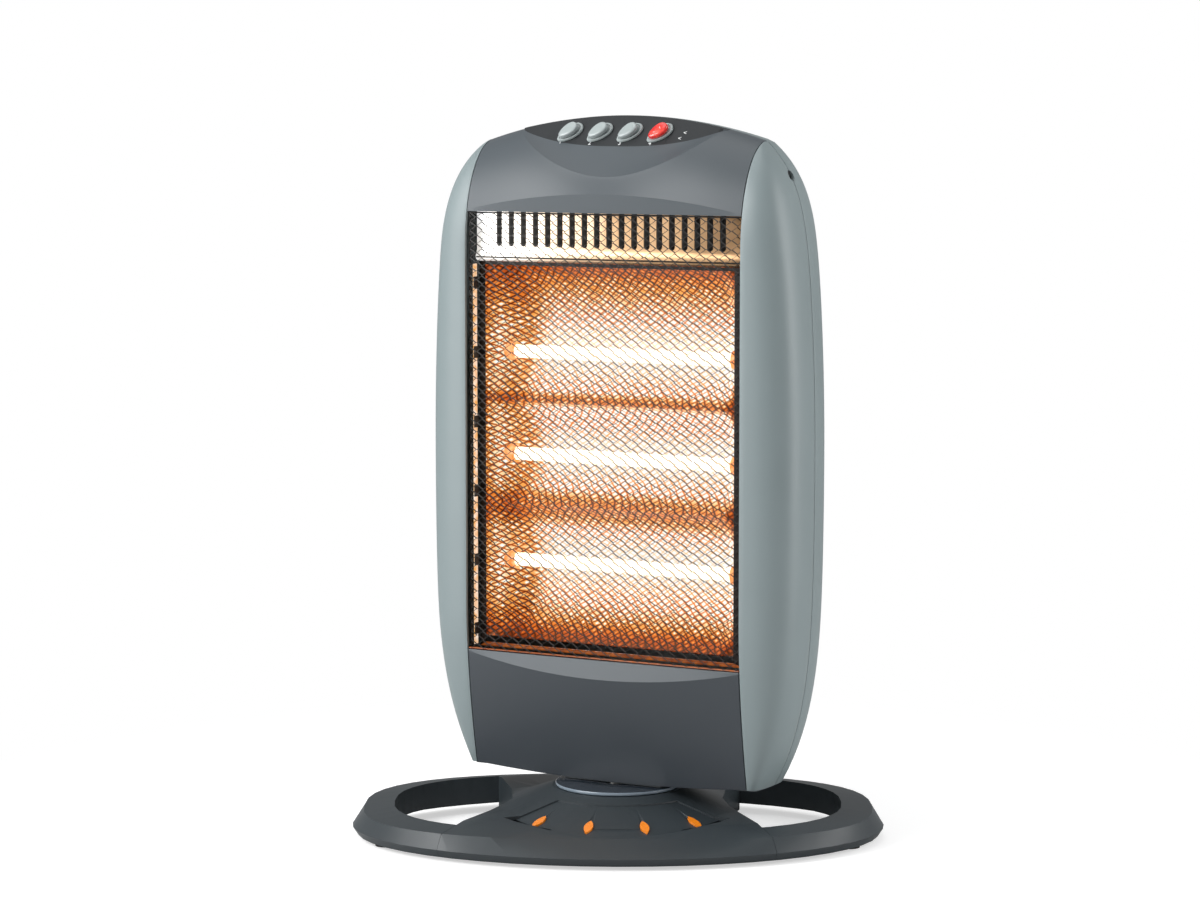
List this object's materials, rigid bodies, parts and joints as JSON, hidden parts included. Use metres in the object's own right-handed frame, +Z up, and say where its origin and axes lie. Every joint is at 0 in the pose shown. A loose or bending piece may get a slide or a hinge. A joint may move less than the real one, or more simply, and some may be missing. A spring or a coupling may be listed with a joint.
{
  "type": "oscillating halogen heater",
  "caption": "Free-standing halogen room heater: an oval ring base with a hub, and an upright turning head with lamps and reflector behind a wire guard.",
  "frame": {"origin": "on the floor, below the middle of the base, on the head's turning axis", "axes": "+Z up; the front of the base towards -Y; +X to the right seen from the front; the head stands turned 28 degrees clockwise seen from above, towards -X"},
  "size_m": [0.4, 0.25, 0.54],
  "materials": {
    "accent_orange": "glossy orange",
    "rubber_black": "matte rubber",
    "disc_pale": "polished pale ring",
    "base_plastic": "satin charcoal",
    "front_plastic": "satin dark grey",
    "side_plastic": "satin grey-green",
    "black_plastic": "matte black",
    "frame_dark": "black enamel",
    "guard_black": "black enamel",
    "polished_metal": "bright polished sheet",
    "quartz": "clear quartz",
    "filament_lit": "glowing tungsten coil",
    "ceramic_white": "unglazed",
    "rocker_red": "translucent red",
    "switch_grey": "satin silver-grey",
    "steel": "plated steel"
  },
  "bodies": {
    "base": {"base_ring": "base_plastic", "base_bridge": "base_plastic", "accent_insert_1": "accent_orange", "accent_insert_2": "accent_orange", "accent_insert_3": "accent_orange", "accent_insert_4": "accent_orange", "turntable_disc": "disc_pale", "rubber_foot_1": "rubber_black", "rubber_foot_2": "rubber_black", "rubber_foot_3": "rubber_black", "rubber_foot_4": "rubber_black", "base_cover": "base_plastic", "tip_switch": "black_plastic", "oscillation_motor": "steel"},
    "head": {"swivel_neck": "steel", "neck_clip": "steel", "drive_arm": "ceramic_white", "head_bottom_plate": "front_plastic", "chin_panel": "front_plastic", "top_panel": "front_plastic", "right_side_panel": "side_plastic", "left_side_panel": "side_plastic", "rear_shell": "side_plastic", "casing_screw_right": "steel", "casing_screw_left": "steel", "cord_gland": "black_plastic", "guard_mesh": "guard_black", "vent_plate": "polished_metal", "reflector_frame": "frame_dark", "reflector": "polished_metal", "thermal_cutout": "black_plastic", "terminal_block": "ceramic_white", "lamp_bracket_left": "steel", "lamp_bracket_right": "steel", "quartz_tube_1": "quartz", "filament_1": "filament_lit", "lamp_cap_left_1": "ceramic_white", "lamp_cap_right_1": "ceramic_white", "quartz_tube_2": "quartz", "filament_2": "filament_lit", "lamp_cap_left_2": "ceramic_white", "lamp_cap_right_2": "ceramic_white", "quartz_tube_3": "quartz", "filament_3": "filament_lit", "lamp_cap_left_3": "ceramic_white", "lamp_cap_right_3": "ceramic_white", "switch_body_1": "switch_grey", "switch_body_2": "switch_grey", "switch_body_3": "switch_grey", "switch_body_4": "switch_grey"},
    "crank": {"motor_crank": "ceramic_white"},
    "tip_plunger": {"tip_plunger": "black_plastic"},
    "rocker_1": {"rocker_1": "switch_grey"},
    "rocker_2": {"rocker_2": "switch_grey"},
    "rocker_3": {"rocker_3": "switch_grey"},
    "rocker_4": {"rocker_4": "rocker_red"}
  },
  "joints": [
    {"name": "head_turn", "type": "hinge", "parent": "base", "child": "head", "pos_m": [0, 0, 0], "axis": [0, 0, 1], "range_deg": [-6, 62]},
    {"name": "crank_spin", "type": "hinge", "parent": "base", "child": "crank", "pos_m": [0, 0.034, 0.0228], "axis": [0, 0, 1], "continuous": true},
    {"name": "tip_plunger_slide", "type": "slide", "parent": "base", "child": "tip_plunger", "axis": [0, 0, 1], "range_m": [-0.004, 0], "stiffness_N_per_m": 60, "springref_m": -0.004},
    {"name": "rocker_1_tilt", "type": "hinge", "parent": "head", "child": "rocker_1", "pos_m": [-0.03591, 0.02192, 0.5268], "axis": [-0.352, 0.7072, 0.6132], "range_deg": [0, 10]},
    {"name": "rocker_2_tilt", "type": "hinge", "parent": "head", "child": "rocker_2", "pos_m": [-0.01366, 0.01009, 0.5268], "axis": [-0.352, 0.7072, 0.6132], "range_deg": [0, 10]},
    {"name": "rocker_3_tilt", "type": "hinge", "parent": "head", "child": "rocker_3", "pos_m": [0.00859, -0.00174, 0.5268], "axis": [-0.352, 0.7072, 0.6132], "range_deg": [0, 10]},
    {"name": "rocker_4_tilt", "type": "hinge", "parent": "head", "child": "rocker_4", "pos_m": [0.03084, -0.01357, 0.5268], "axis": [-0.352, 0.7072, 0.6132], "range_deg": [0, 10]}
  ]
}
